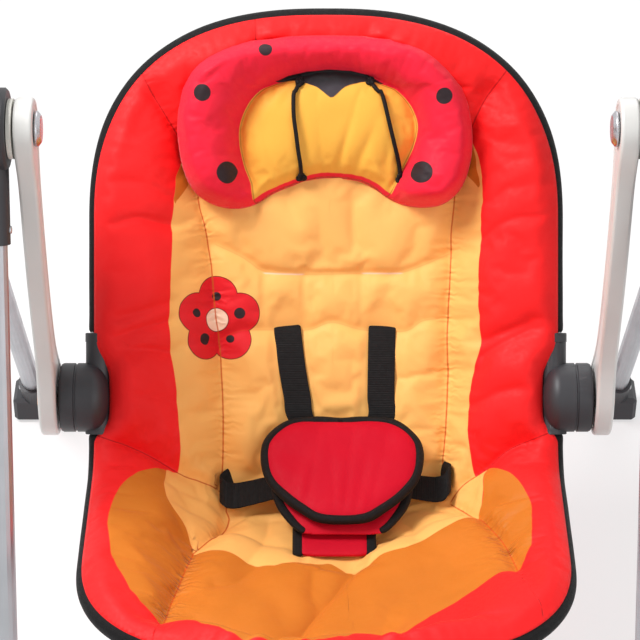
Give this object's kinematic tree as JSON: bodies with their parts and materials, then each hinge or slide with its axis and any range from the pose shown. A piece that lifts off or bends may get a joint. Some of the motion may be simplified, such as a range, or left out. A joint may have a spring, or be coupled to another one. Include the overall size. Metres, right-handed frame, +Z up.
{
  "type": "electric baby swing",
  "caption": "Folding baby swing: padded reclining seat on two arms that hang from battery-driven pods on A-frame legs, with head pillow and harness.",
  "frame": {"origin": "on the floor, midway between the four feet and under the middle of the swing axis", "axes": "+X to the right for someone who faces the seat, along the swing axis towards the drive pod; +Y towards the seat's head end; +Z up"},
  "size_m": [0.7022, 0.68, 0.686],
  "materials": {
    "fabric_red": "woven",
    "fabric_crimson": "woven",
    "webbing_black": "woven webbing",
    "cord_black": "round elastic cord",
    "plastic_charcoal": "moulded",
    "plastic_light": "moulded",
    "plastic_orange": "moulded",
    "tube_grey": "satin",
    "steel": "turned",
    "nylon": "moulded",
    "board_green": "laminate",
    "cell_jacket": "printed jacket"
  },
  "bodies": {
    "stand": {"axle_bush_left": "nylon", "axle_bush_right": "nylon", "battery_cell_1": "cell_jacket", "battery_cell_2": "cell_jacket", "battery_cell_3": "cell_jacket", "battery_cell_4": "cell_jacket", "battery_tray": "plastic_charcoal", "circuit_board": "board_green", "contact_bridge": "steel", "gear_motor": "steel", "left_pod_inner": "plastic_light", "left_pod_outer": "plastic_light", "rear_base_tube": "tube_grey", "rear_foot_left": "plastic_charcoal", "rear_foot_right": "plastic_charcoal", "rear_leg_left": "tube_grey", "rear_leg_right": "tube_grey", "right_pod_inner": "plastic_light", "right_pod_outer": "plastic_light", "speaker": "plastic_charcoal"},
    "power_button": {"power_button": "plastic_orange"},
    "speed_button": {"speed_button": "plastic_charcoal"},
    "music_button": {"music_button": "plastic_charcoal"},
    "fold_button_right": {"fold_button_right": "plastic_orange"},
    "fold_button_left": {"fold_button_left": "plastic_orange"},
    "battery_door": {"battery_door": "plastic_light"},
    "front_legs": {"front_base_tube": "tube_grey", "front_foot_left": "plastic_charcoal", "front_foot_right": "plastic_charcoal", "front_leg_left": "tube_grey", "front_leg_right": "tube_grey", "knuckle_left": "plastic_charcoal", "knuckle_right": "plastic_charcoal"},
    "swing": {"left_arm": "plastic_light", "right_arm": "plastic_light", "sector_gear": "nylon", "swing_axle_left": "steel", "swing_axle_right": "steel"},
    "pinion": {"drive_pinion": "nylon"},
    "recline_button_right": {"recline_button_right": "plastic_orange"},
    "recline_button_left": {"recline_button_left": "plastic_orange"},
    "seat": {"buckle": "plastic_charcoal", "crotch_flap": "fabric_crimson", "harness_pad": "fabric_crimson", "harness_pad_liner": "fabric_crimson", "headrest_pillow": "fabric_crimson", "left_cord": "cord_black", "lower_seat_tube": "tube_grey", "right_cord": "cord_black", "seat_hub_left": "plastic_charcoal", "seat_hub_right": "plastic_charcoal", "seat_pad": "fabric_red", "shoulder_strap_left": "webbing_black", "shoulder_strap_right": "webbing_black", "upper_seat_tube": "tube_grey", "waist_strap_left": "webbing_black", "waist_strap_right": "webbing_black"},
    "buckle_button": {"buckle_button": "plastic_orange"}
  },
  "joints": [
    {"name": "swing", "type": "hinge", "parent": "stand", "child": "swing", "pos_m": [0, 0, 0.6], "axis": [1, 0, 0], "range_deg": [-20, 20]},
    {"name": "pinion_spin", "type": "hinge", "parent": "stand", "child": "pinion", "pos_m": [0, 0.03182, 0.63182], "axis": [1, 0, 0], "range_deg": [-72, 72]},
    {"name": "front_leg_fold", "type": "hinge", "parent": "stand", "child": "front_legs", "pos_m": [0, 0, 0.6], "axis": [1, 0, 0], "range_deg": [0, 48]},
    {"name": "seat_recline", "type": "hinge", "parent": "swing", "child": "seat", "pos_m": [0, 0, 0.304], "axis": [-1, 0, 0], "range_deg": [0, 18]},
    {"name": "battery_door_slide", "type": "slide", "parent": "stand", "child": "battery_door", "axis": [0, 0, -1], "range_m": [0, 0.028]},
    {"name": "power_button_press", "type": "slide", "parent": "stand", "child": "power_button", "axis": [-1, 0, 0], "range_m": [0, 0.0015], "stiffness_N_per_m": 500},
    {"name": "speed_button_press", "type": "slide", "parent": "stand", "child": "speed_button", "axis": [-1, 0, 0], "range_m": [0, 0.0015], "stiffness_N_per_m": 500},
    {"name": "music_button_press", "type": "slide", "parent": "stand", "child": "music_button", "axis": [-1, 0, 0], "range_m": [0, 0.0015], "stiffness_N_per_m": 500},
    {"name": "fold_button_right_press", "type": "slide", "parent": "stand", "child": "fold_button_right", "axis": [-1, 0, 0], "range_m": [0, 0.003], "stiffness_N_per_m": 600},
    {"name": "fold_button_left_press", "type": "slide", "parent": "stand", "child": "fold_button_left", "axis": [1, 0, 0], "range_m": [0, 0.003], "stiffness_N_per_m": 600},
    {"name": "recline_button_right_press", "type": "slide", "parent": "swing", "child": "recline_button_right", "axis": [-1, 0, 0], "range_m": [0, 0.003], "stiffness_N_per_m": 600},
    {"name": "recline_button_left_press", "type": "slide", "parent": "swing", "child": "recline_button_left", "axis": [1, 0, 0], "range_m": [0, 0.003], "stiffness_N_per_m": 600},
    {"name": "buckle_button_press", "type": "slide", "parent": "seat", "child": "buckle_button", "axis": [0, 0.2493, -0.9684], "range_m": [0, 0.0025], "stiffness_N_per_m": 500}
  ],
  "couplings": [
    {"joint": "pinion_spin", "follows": "swing", "ratio": -3.5}
  ]
}
